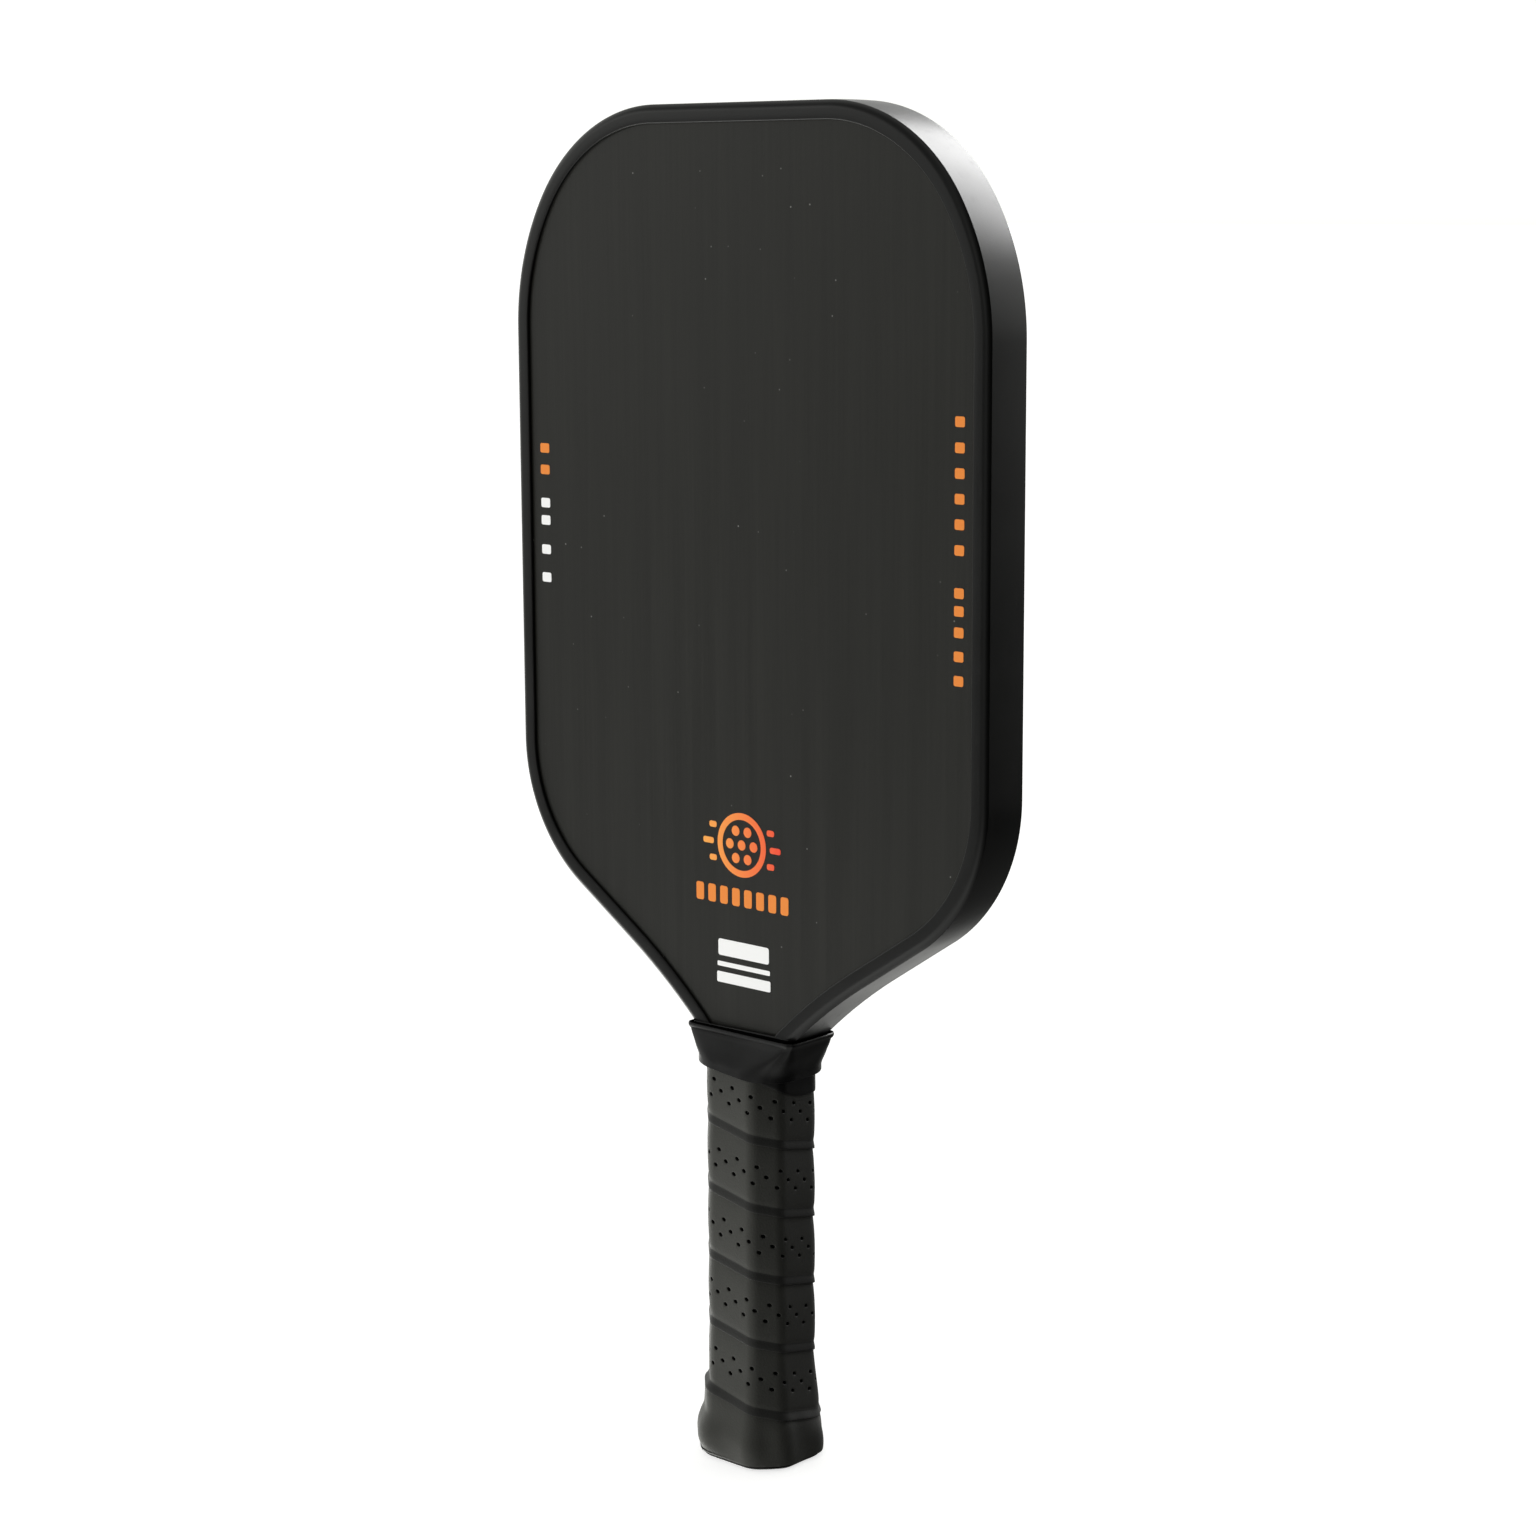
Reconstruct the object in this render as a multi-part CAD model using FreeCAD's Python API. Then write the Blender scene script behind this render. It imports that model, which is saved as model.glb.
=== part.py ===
"""Pickleball paddle, modelled as the separate pieces that it is built from.

The paddle stands on its butt: +Z runs from the butt to the top of the head, +X is to the
right, and the front face looks along -Y. The origin is the centre of the butt's flat end.
All lengths are in millimetres and all angles in degrees.
"""
import FreeCAD, Part
import math
import os

# Overall size
LENGTH = 419.1
WIDTH = 190.5

# Head outline, at the outside of the edge guard
CORNER_TOP_RADIUS = 58.0
CORNER_SIDE_RADIUS = 76.0
CORNER_BLEND = 58.0
SHOULDER_Z = 220.6
SHOULDER_RADIUS = 55.0
SHOULDER_TURN = 56.6
SHOULDER_RUN = 27.0
THROAT_RADIUS = 200.0
THROAT_TURN = 10.2
NECK_HALF_WIDTH = 12.2

# Layers, as distances from the middle plane of the panel
CORE_HALF = 7.5
FILM_HALF = 7.7
PANEL_HALF = 8.2
GUARD_HALF = 9.2

# Edge guard and what lies behind it, as distances in from the head outline
GUARD_WALL = 1.5
BOND_STRIP = 0.2
GUARD_LIP = 5.75
GUARD_ROUND = 2.1
GUARD_END_Z = 128.5

# Core
CELL_FLATS = 8.0
CELL_WALL = 0.35
FOAM_WIDTH = 11.0
FOAM_END_Z = 165.0

# Handle section: half width, half depth and corner leg of an octagon
GRIP = (15.75, 14.6, 7.1)
TAPE = 1.8
HANDLE_START_Z = 3.0
HANDLE_TOP_Z = 128.0
FLANGE_TOP_Z = 117.0
CHEEK_BEVEL_Z = 124.0
CHEEK_BEVEL = 2.3
GRIP_TOP_Z = 128.2

# Butt cap: height and section of each ring up its outside
CAP_RINGS = [
    (0.0, (16.0, 14.6, 8.4)),
    (1.6, (16.7, 15.3, 8.3)),
    (5.0, (17.2, 15.8, 8.1)),
    (8.0, (17.3, 15.9, 8.0)),
    (14.0, (16.5, 15.2, 7.3)),
    (20.0, (15.2, 14.0, 6.6)),
    (26.0, (13.95, 12.8, 6.05)),
    (30.0, (13.95, 12.8, 6.05)),
]
CAP_SKIRT = 0.8
TAPE_START_Z = 1.6
BADGE_RADIUS = 9.0
BADGE_THICK = 0.6
BADGE_RECESS = 1.0

# Staples through the front and rear of the butt cap, flush with its surface
STAPLE_Z = 20.0
STAPLE_OUTSIDE = 14.0
STAPLE_CROWN = 10.0
STAPLE_WIRE = (1.2, 0.5)
STAPLE_LEG = 3.4

# Finishing tape and collar
FINISH_START_Z = 119.2
FINISH_THICK = 0.4
COLLAR_WALL = 1.1
COLLAR_BOTTOM_Z = 125.8
COLLAR_STRAIGHT = 2.5
COLLAR_TOP_Z = 138.4
COLLAR_BOTTOM = (17.55, 16.3, 7.2)
COLLAR_TOP = (21.5, 10.6, 3.0)
COLLAR_BEAD = 0.7
COLLAR_BEAD_HEIGHT = 1.4
COLLAR_BEAD_FLAT = 0.4


def vector(x, y, z):
    return FreeCAD.Vector(x, y, z)


# ---------------------------------------------------------------- head outline

def outline_moves(inset):
    """Runs and turns of the right half of the head outline, drawn in by an inset."""
    blend = math.radians(CORNER_BLEND)
    shoulder = math.radians(SHOULDER_TURN)
    neck = math.radians(SHOULDER_TURN - THROAT_TURN)
    half_width = WIDTH / 2
    corner_reach = CORNER_TOP_RADIUS * math.sin(blend) + CORNER_SIDE_RADIUS * (1 - math.sin(blend))
    corner_drop = CORNER_TOP_RADIUS * (1 - math.cos(blend)) + CORNER_SIDE_RADIUS * math.cos(blend)
    neck_start = (half_width - SHOULDER_RADIUS * (1 - math.cos(shoulder))
                  - SHOULDER_RUN * math.sin(shoulder)
                  - THROAT_RADIUS * (math.cos(neck) - math.cos(shoulder)))
    neck_radius = (neck_start - NECK_HALF_WIDTH) / (1 - math.cos(neck))
    return [
        ("run", half_width - corner_reach),
        ("right", CORNER_TOP_RADIUS - inset, CORNER_BLEND),
        ("right", CORNER_SIDE_RADIUS - inset, 90 - CORNER_BLEND),
        ("run", LENGTH - corner_drop - SHOULDER_Z),
        ("right", SHOULDER_RADIUS - inset, SHOULDER_TURN),
        ("run", SHOULDER_RUN),
        ("left", THROAT_RADIUS + inset, THROAT_TURN),
        ("left", neck_radius + inset, SHOULDER_TURN - THROAT_TURN),
    ]


def turn_edge(start, heading, radius, angle, side):
    """Arc that leaves start along heading, with the point and heading at its end."""
    centre_angle = math.radians(heading + 90 * side)
    centre = start + vector(math.cos(centre_angle), 0, math.sin(centre_angle)) * radius
    points = []
    for part in (0.5, 1.0):
        swept = math.radians(heading - 90 * side + angle * side * part)
        points.append(centre + vector(math.cos(swept), 0, math.sin(swept)) * radius)
    return Part.Arc(start, points[0], points[1]).toShape(), points[1], heading + angle * side


def outline_face(inset, bottom_z):
    """Flat face of the head and its tang, down to bottom_z, in the plane Y = 0."""
    point = vector(0, 0, LENGTH - inset)
    heading = 0.0
    half = []
    for move in outline_moves(inset):
        if move[0] == "run":
            along = math.radians(heading)
            end = point + vector(math.cos(along), 0, math.sin(along)) * move[1]
            half.append(Part.makeLine(point, end))
            point = end
        else:
            side = 1 if move[0] == "left" else -1
            edge, point, heading = turn_edge(point, heading, move[1], move[2], side)
            half.append(edge)
    foot = vector(point.x, 0, bottom_z)
    half.append(Part.makeLine(point, foot))
    half.append(Part.makeLine(foot, vector(0, 0, bottom_z)))
    other = [edge.mirror(vector(0, 0, 0), vector(1, 0, 0)) for edge in half]
    wire = Part.Wire(Part.__sortEdges__(half + other))
    return Part.Face(wire)


def layer(face, low_y, high_y):
    """Solid between two distances along Y, from a face in the plane Y = 0."""
    moved = face.copy()
    moved.translate(vector(0, low_y, 0))
    return moved.extrude(vector(0, high_y - low_y, 0))


def block(low, high):
    """Rectangular block between two corners."""
    size = vector(*high) - vector(*low)
    return Part.makeBox(size.x, size.y, size.z, vector(*low))


def below(z):
    """Block that covers everything under a height."""
    return block((-WIDTH, -WIDTH, -LENGTH), (WIDTH, WIDTH, z))


# ----------------------------------------------------------------------- panel

PANEL_INSET = GUARD_WALL + BOND_STRIP


def foam_face():
    """Band just inside the panel's edge, round the head only."""
    outer = outline_face(PANEL_INSET, HANDLE_START_Z)
    inner = outline_face(PANEL_INSET + FOAM_WIDTH, HANDLE_START_Z + 1)
    return outer.cut(inner).cut(below(FOAM_END_Z))


def cell_centres():
    """Centres of the honeycomb cells on a staggered grid over the whole panel."""
    pitch = CELL_FLATS + CELL_WALL
    row_step = pitch * math.sqrt(3) / 2
    columns = int(WIDTH / 2 / pitch) + 1
    centres = []
    for row in range(int(LENGTH / row_step)):
        shift = pitch / 2 if row % 2 else 0.0
        for column in range(-columns, columns + 1):
            centres.append(vector(column * pitch + shift, 0, row * row_step))
    return centres


def cell_face(centre):
    """Flat face of one six-sided cell, with its flats facing left and right."""
    corner = CELL_FLATS / math.sqrt(3)
    points = []
    for step in range(7):
        angle = math.radians(60 * step + 30)
        points.append(centre + vector(math.cos(angle), 0, math.sin(angle)) * corner)
    return Part.Face(Part.makePolygon(points))


def honeycomb_core():
    """Core with open cells from face to face, inside the foam and down the tang."""
    region = outline_face(PANEL_INSET, HANDLE_START_Z).cut(foam_face()).Faces[0]
    cells = []
    for centre in cell_centres():
        cell = cell_face(centre)
        if all(region.isInside(corner.Point, CELL_WALL, False) for corner in cell.Vertexes):
            cells.append(cell)
    walls = region.cut(Part.makeCompound(cells))
    return layer(walls.Faces[0], -CORE_HALF, CORE_HALF)


def edge_foam():
    return layer(foam_face(), -CORE_HALF, CORE_HALF)


def panel_sheet(inner, outer):
    """Sheet over the whole panel between two distances from its middle plane."""
    low, high = sorted((inner, outer))
    return layer(outline_face(PANEL_INSET, HANDLE_START_Z), low, high)


# ------------------------------------------------------------------ edge guard

def rounded_blank():
    """Solid with the guard's outside shape and rounded outer edges."""
    blank = layer(outline_face(0, FLANGE_TOP_Z), -GUARD_HALF, GUARD_HALF)
    rims = [edge for edge in blank.Edges
            if math.isclose(abs(edge.CenterOfMass.y), GUARD_HALF)]
    return blank.makeFillet(GUARD_ROUND, rims)


def edge_guard():
    """Channel that grips the panel's rim, open where the handle starts."""
    channel = layer(outline_face(GUARD_WALL, 0), -PANEL_HALF, PANEL_HALF)
    window = layer(outline_face(GUARD_LIP, 0), -WIDTH, WIDTH)
    return rounded_blank().cut(channel).cut(window).cut(below(GUARD_END_Z))


def edge_guard_tape():
    """Bonding strip between the panel's rim and the guard's wall."""
    outer = outline_face(GUARD_WALL, HANDLE_START_Z)
    inner = outline_face(PANEL_INSET, HANDLE_START_Z)
    return layer(outer.cut(inner).cut(below(GUARD_END_Z)), -CORE_HALF, CORE_HALF)


# ---------------------------------------------------------------------- handle

def section_wire(section, z):
    """Eight-sided section with the given half width, half depth and corner leg."""
    half_x, half_y, leg = section
    corners = [
        (half_x - leg, -half_y), (half_x, leg - half_y), (half_x, half_y - leg),
        (half_x - leg, half_y), (leg - half_x, half_y), (-half_x, half_y - leg),
        (-half_x, leg - half_y), (leg - half_x, -half_y),
    ]
    points = [vector(x, y, z) for x, y in corners]
    return Part.makePolygon(points + points[:1])


def offset_section(section, distance):
    """Section moved out by a distance, with every side kept parallel."""
    half_x, half_y, leg = section
    return half_x + distance, half_y + distance, leg + distance * (2 - math.sqrt(2))


def loft(rings):
    """Solid through (height, section) rings, with straight sides between them."""
    wires = [section_wire(section, z) for z, section in rings]
    return Part.makeLoft(wires, True, True)


def prism(section, low_z, high_z):
    return loft([(low_z, section), (high_z, section)])


HANDLE = offset_section(GRIP, -TAPE)


def handle_blank():
    """Outside of the two handle cheeks together, stepped down to enter the cap."""
    spigot_top = CAP_RINGS[-1][0]
    beveled = (HANDLE[0] - CHEEK_BEVEL, HANDLE[1] - CHEEK_BEVEL, HANDLE[2])
    body = loft([(spigot_top, HANDLE), (CHEEK_BEVEL_Z, HANDLE), (HANDLE_TOP_Z, beveled)])
    spigot = prism(offset_section(HANDLE, -CAP_SKIRT), HANDLE_START_Z, spigot_top)
    return body.fuse(spigot)


def handle_half(front):
    """Cheek on one side of the tang, with short flanges along the tang's edges."""
    tang = layer(outline_face(PANEL_INSET, 0), -PANEL_HALF, PANEL_HALF)
    neck = block((-WIDTH, -PANEL_HALF, FLANGE_TOP_Z), (WIDTH, PANEL_HALF, LENGTH))
    low_y, high_y = (-WIDTH, 0) if front else (0, WIDTH)
    side = block((-WIDTH, low_y, 0), (WIDTH, high_y, LENGTH))
    half = handle_blank().cut(tang).cut(neck).common(side)
    return half.cut(butt_cap_staples()).removeSplitter()


# -------------------------------------------------------------------- butt end

def staple(side):
    """Flat-wire staple whose crown is flush in the cap's skirt."""
    wire_height, wire_depth = STAPLE_WIRE
    outside = STAPLE_OUTSIDE * side
    inside = outside - wire_depth * side
    tip = inside - STAPLE_LEG * side
    half = STAPLE_CROWN / 2
    bottom, top = STAPLE_Z - wire_height / 2, STAPLE_Z + wire_height / 2
    crown = block((-half, min(outside, inside), bottom), (half, max(outside, inside), top))
    body = crown
    for x in (-half, half - wire_depth):
        leg = block((x, min(inside, tip), bottom), (x + wire_depth, max(inside, tip), top))
        body = body.fuse(leg)
    return body.removeSplitter()


def butt_cap_staples():
    return Part.makeCompound([staple(-1), staple(1)])


def badge_disc(thickness):
    return Part.makeCylinder(BADGE_RADIUS, thickness, vector(0, 0, BADGE_RECESS))


def butt_cap():
    """Flared cup over the handle's end, with a round recess in its flat base."""
    socket = prism(offset_section(HANDLE, -CAP_SKIRT), HANDLE_START_Z, LENGTH)
    recess = Part.makeCylinder(BADGE_RADIUS, BADGE_RECESS + BADGE_THICK)
    return loft(CAP_RINGS).cut(socket).cut(recess).cut(butt_cap_staples())


# ------------------------------------------------------- grip, tape and collar

def grip_rings():
    """Rings up the outside of the wound grip, from the flare to its top end."""
    rings = [(z, offset_section(section, TAPE)) for z, section in CAP_RINGS
             if TAPE_START_Z <= z < CAP_RINGS[-1][0]]
    return rings + [(GRIP_TOP_Z, GRIP)]


def grip_tape():
    """Cushion grip as one sleeve of the wound tape's outside shape."""
    inner = [(z, offset_section(section, -TAPE)) for z, section in grip_rings()]
    return loft(grip_rings()).cut(loft(inner))


def finishing_tape():
    outer = prism(offset_section(GRIP, FINISH_THICK), FINISH_START_Z, GRIP_TOP_Z)
    return outer.cut(prism(GRIP, FINISH_START_Z - 1, GRIP_TOP_Z + 1))


def collar_rings(inset):
    """Rings of the collar's outside, or of its inside when drawn in by an inset."""
    bottom = offset_section(COLLAR_BOTTOM, -inset)
    top = offset_section(COLLAR_TOP, -inset)
    straight_top = COLLAR_BOTTOM_Z + COLLAR_STRAIGHT
    return [(COLLAR_BOTTOM_Z, bottom), (straight_top, bottom), (COLLAR_TOP_Z, top)]


def grip_collar():
    """Rubber band from the grip's octagon to the flat throat, with a bead on top."""
    wide = offset_section(COLLAR_TOP, COLLAR_BEAD)
    narrow = offset_section(COLLAR_TOP, COLLAR_BEAD - COLLAR_WALL)
    bead = loft([
        (COLLAR_TOP_Z - COLLAR_BEAD_HEIGHT, narrow),
        (COLLAR_TOP_Z - COLLAR_BEAD_FLAT, wide),
        (COLLAR_TOP_Z, wide),
    ])
    return loft(collar_rings(0)).fuse(bead).cut(loft(collar_rings(COLLAR_WALL)))


NODES = {
    "honeycomb_core": honeycomb_core(),
    "edge_foam": edge_foam(),
    "front_bond_film": panel_sheet(-CORE_HALF, -FILM_HALF),
    "rear_bond_film": panel_sheet(CORE_HALF, FILM_HALF),
    "front_face_sheet": panel_sheet(-FILM_HALF, -PANEL_HALF),
    "rear_face_sheet": panel_sheet(FILM_HALF, PANEL_HALF),
    "edge_guard": edge_guard(),
    "edge_guard_tape": edge_guard_tape(),
    "front_handle_half": handle_half(True),
    "rear_handle_half": handle_half(False),
    "butt_cap": butt_cap(),
    "butt_end_badge": badge_disc(BADGE_THICK),
    "butt_cap_staples": butt_cap_staples(),
    "grip_tape": grip_tape(),
    "finishing_tape": finishing_tape(),
    "grip_collar": grip_collar(),
}

os.makedirs("parts", exist_ok=True)
for node, shape in NODES.items():
    shape.exportStep(f"parts/{node}.step")
    box = shape.BoundBox
    print(f"{node}: {len(shape.Solids)} solids, valid {shape.isValid()}, "
          f"volume {shape.Volume:.0f}, x {box.XMin:.2f} {box.XMax:.2f}, "
          f"y {box.YMin:.2f} {box.YMax:.2f}, z {box.ZMin:.2f} {box.ZMax:.2f}")
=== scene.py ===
"""Looks of the pickleball paddle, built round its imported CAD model.

Shapes are worked out in millimetres and made in metres, in the CAD model's frame: +X to the
right, the front face towards -Y, +Z up from the butt. Long sizes come from the CAD nodes.
"""
import math

import bpy
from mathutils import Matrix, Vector, noise


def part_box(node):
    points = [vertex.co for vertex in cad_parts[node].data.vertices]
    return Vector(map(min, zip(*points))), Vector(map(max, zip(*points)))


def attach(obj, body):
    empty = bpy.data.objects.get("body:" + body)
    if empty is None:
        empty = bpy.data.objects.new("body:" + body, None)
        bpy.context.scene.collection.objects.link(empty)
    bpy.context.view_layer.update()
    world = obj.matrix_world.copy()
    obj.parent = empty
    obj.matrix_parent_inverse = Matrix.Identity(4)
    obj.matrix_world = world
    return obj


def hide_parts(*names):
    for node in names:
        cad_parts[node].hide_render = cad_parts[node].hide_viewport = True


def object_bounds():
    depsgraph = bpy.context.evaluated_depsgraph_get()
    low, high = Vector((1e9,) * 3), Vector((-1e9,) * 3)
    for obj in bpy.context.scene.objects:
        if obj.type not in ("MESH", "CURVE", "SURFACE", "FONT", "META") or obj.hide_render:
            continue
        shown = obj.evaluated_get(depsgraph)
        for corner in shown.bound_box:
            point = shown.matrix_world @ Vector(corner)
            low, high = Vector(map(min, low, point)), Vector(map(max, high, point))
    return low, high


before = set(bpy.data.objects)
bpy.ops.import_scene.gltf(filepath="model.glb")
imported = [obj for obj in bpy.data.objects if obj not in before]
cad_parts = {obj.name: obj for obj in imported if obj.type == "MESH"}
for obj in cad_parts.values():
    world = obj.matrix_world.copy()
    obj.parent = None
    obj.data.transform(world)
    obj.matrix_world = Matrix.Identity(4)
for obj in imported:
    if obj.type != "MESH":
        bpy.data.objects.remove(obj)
cad_low, cad_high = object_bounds()

MM = 0.001


def node_box(node):
    """Lowest and highest corner of a CAD node, in millimetres."""
    low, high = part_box(node)
    return low / MM, high / MM


# ------------------------------------------------------------------ small helpers

def smooth_step(low, high, value):
    """0 below low, 1 above high, and a smooth rise between them."""
    t = min(max((value - low) / (high - low), 0.0), 1.0)
    return t * t * (3 - 2 * t)


def along_table(table, value):
    """Value read from (place, value) pairs, with a smooth curve through them."""
    if value <= table[0][0]:
        return table[0][1]
    if value >= table[-1][0]:
        return table[-1][1]
    i = max(k for k in range(len(table) - 1) if table[k][0] <= value)
    x0, y0 = table[i]
    x1, y1 = table[i + 1]
    before = table[i - 1] if i > 0 else table[i]
    after = table[i + 2] if i + 2 < len(table) else table[i + 1]
    slope0 = (y1 - before[1]) / (x1 - before[0])
    slope1 = (after[1] - y0) / (after[0] - x0)
    t = (value - x0) / (x1 - x0)
    span = x1 - x0
    return ((2 * t ** 3 - 3 * t ** 2 + 1) * y0 + (t ** 3 - 2 * t ** 2 + t) * span * slope0
            + (3 * t ** 2 - 2 * t ** 3) * y1 + (t ** 3 - t ** 2) * span * slope1)


def make_piece(name, points, faces, material, node=None, sharp=35):
    """Mesh object from points in millimetres, riding on the paddle's only body."""
    mesh = bpy.data.meshes.new(name)
    mesh.from_pydata([Vector(p) * MM for p in points], [], faces)
    mesh.validate()
    mesh.polygons.foreach_set("use_smooth", [True] * len(mesh.polygons))
    mesh.set_sharp_from_angle(angle=math.radians(sharp))
    mesh.materials.append(material)
    piece = bpy.data.objects.new(name, mesh)
    bpy.context.scene.collection.objects.link(piece)
    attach(piece, "root")
    if node:
        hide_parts(node)
    return piece


def quad_faces(columns, rows, wrap):
    """Faces of a grid whose points are listed column by column."""
    faces = []
    for i in range(columns if wrap else columns - 1):
        j = (i + 1) % columns
        for k in range(rows - 1):
            faces.append((i * rows + k, j * rows + k, j * rows + k + 1, i * rows + k + 1))
    return faces


# ---------------------------------------------------------------------- materials

def new_material(name):
    """Node material with its nodes, links, shader and a place in metres on the object."""
    material = bpy.data.materials.new(name)
    material.use_nodes = True
    tree = material.node_tree
    shader = tree.nodes["Principled BSDF"]
    place = tree.nodes.new("ShaderNodeTexCoord").outputs["Object"]
    return material, tree, shader, place


def scaled(tree, place, scale):
    """Place stretched by a factor along each axis."""
    mapping = tree.nodes.new("ShaderNodeMapping")
    mapping.inputs["Scale"].default_value = scale
    tree.links.new(place, mapping.inputs["Vector"])
    return mapping.outputs["Vector"]


def noise_at(tree, vector, scale, detail=4.0, rough=0.55):
    """Noise value from 0 to 1 at a place."""
    node = tree.nodes.new("ShaderNodeTexNoise")
    node.inputs["Scale"].default_value = scale
    node.inputs["Detail"].default_value = detail
    node.inputs["Roughness"].default_value = rough
    tree.links.new(vector, node.inputs["Vector"])
    return node.outputs["Fac"]


def ramp(tree, value, stops):
    """Colour ramp through (position, grey or colour) stops."""
    node = tree.nodes.new("ShaderNodeValToRGB")
    elements = node.color_ramp.elements
    while len(elements) < len(stops):
        elements.new(0.5)
    for element, (position, colour) in zip(elements, stops):
        element.position = position
        if isinstance(colour, (int, float)):
            colour = (colour, colour, colour)
        element.color = (*colour, 1.0)
    tree.links.new(value, node.inputs["Fac"])
    return node.outputs["Color"]


def mixed(tree, factor, a, b, mode="MIX"):
    """Colour mix of a and b, which are sockets or colours."""
    node = tree.nodes.new("ShaderNodeMix")
    node.data_type = "RGBA"
    node.blend_type = mode
    for socket, value in ((node.inputs["Factor"], factor), (node.inputs[6], a), (node.inputs[7], b)):
        if isinstance(value, bpy.types.NodeSocket):
            tree.links.new(value, socket)
        elif isinstance(value, (int, float)):
            socket.default_value = value
        else:
            socket.default_value = (*value, 1.0)
    return node.outputs[2]


def math_node(tree, operation, a, b=0.0):
    """Result of a sum of a and b, which are sockets or numbers."""
    node = tree.nodes.new("ShaderNodeMath")
    node.operation = operation
    for socket, value in ((node.inputs[0], a), (node.inputs[1], b)):
        if isinstance(value, bpy.types.NodeSocket):
            tree.links.new(value, socket)
        else:
            socket.default_value = value
    return node.outputs[0]


def bump(tree, shader, layers):
    """Chain of bumps from (height socket, depth in metres) layers."""
    normal = None
    for height, distance in layers:
        node = tree.nodes.new("ShaderNodeBump")
        node.inputs["Strength"].default_value = 1.0
        node.inputs["Distance"].default_value = distance
        tree.links.new(height, node.inputs["Height"])
        if normal:
            tree.links.new(normal, node.inputs["Normal"])
        normal = node.outputs["Normal"]
    tree.links.new(normal, shader.inputs["Normal"])


def carbon_material():
    """Raw carbon face: fine upright fibre streaks, peel-ply grain, dust and a faint cloudy tone."""
    material, tree, shader, place = new_material("raw_carbon")
    streaks = noise_at(tree, scaled(tree, place, (1.0, 1.0, 0.02)), 900.0, 3.0, 0.6)
    tows = noise_at(tree, scaled(tree, place, (1.0, 1.0, 0.035)), 210.0, 2.0, 0.5)
    clouds = noise_at(tree, place, 14.0, 3.0, 0.5)
    grain = noise_at(tree, scaled(tree, place, (1.0, 1.0, 0.55)), 2600.0, 2.0, 0.7)
    colour = ramp(tree, tows, [(0.3, (0.0096, 0.0095, 0.0078)), (0.7, (0.0115, 0.0114, 0.0094))])
    colour = mixed(tree, 0.5, colour, ramp(tree, streaks, [(0.25, 0.35), (0.75, 0.68)]), "OVERLAY")
    colour = mixed(tree, 0.35, colour, ramp(tree, clouds, [(0.3, 0.42), (0.7, 0.60)]), "OVERLAY")
    split = tree.nodes.new("ShaderNodeSeparateXYZ")
    flat = tree.nodes.new("ShaderNodeCombineXYZ")
    tree.links.new(place, split.inputs["Vector"])
    tree.links.new(split.outputs["X"], flat.inputs["X"])
    tree.links.new(split.outputs["Z"], flat.inputs["Y"])
    dust = tree.nodes.new("ShaderNodeTexVoronoi")
    dust.voronoi_dimensions = "2D"
    dust.inputs["Scale"].default_value = 95.0
    tree.links.new(flat.outputs["Vector"], dust.inputs["Vector"])
    specks = ramp(tree, dust.outputs["Distance"], [(0.012, 0.7), (0.030, 0.0)])
    chosen = ramp(tree, dust.outputs["Color"], [(0.75, 0.0), (0.90, 1.0)])
    specks = mixed(tree, 1.0, specks, chosen, "MULTIPLY")
    colour = mixed(tree, specks, colour, (0.30, 0.30, 0.28))
    tree.links.new(colour, shader.inputs["Base Color"])
    rough = ramp(tree, tows, [(0.25, 0.38), (0.75, 0.425)])
    tree.links.new(rough, shader.inputs["Roughness"])
    shader.inputs["Specular IOR Level"].default_value = 0.42
    bump(tree, shader, [(streaks, 0.00002), (grain, 0.00002)])
    return material


def satin_plastic(name, colour, rough, grain_scale, grain_depth, spread=0.15, shine=0.43):
    """Moulded plastic or rubber: fine moulded grain, faint scuffs and uneven gloss."""
    material, tree, shader, place = new_material(name)
    grain = noise_at(tree, place, grain_scale, 3.0, 0.6)
    clouds = noise_at(tree, place, 35.0, 4.0, 0.6)
    scuffs = noise_at(tree, scaled(tree, place, (1.0, 1.0, 0.12)), 420.0, 4.0, 0.65)
    low = [c * (1 - spread) for c in colour]
    high = [c * (1 + spread) for c in colour]
    base = ramp(tree, clouds, [(0.3, low), (0.7, high)])
    tree.links.new(base, shader.inputs["Base Color"])
    gloss = ramp(tree, clouds, [(0.3, rough - 0.03), (0.7, rough + 0.03)])
    worn = ramp(tree, scuffs, [(0.60, 0.0), (0.78, 0.10)])
    gloss = mixed(tree, 1.0, gloss, worn, "ADD")
    tree.links.new(gloss, shader.inputs["Roughness"])
    shader.inputs["Specular IOR Level"].default_value = shine
    bump(tree, shader, [(grain, grain_depth)])
    return material


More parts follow.
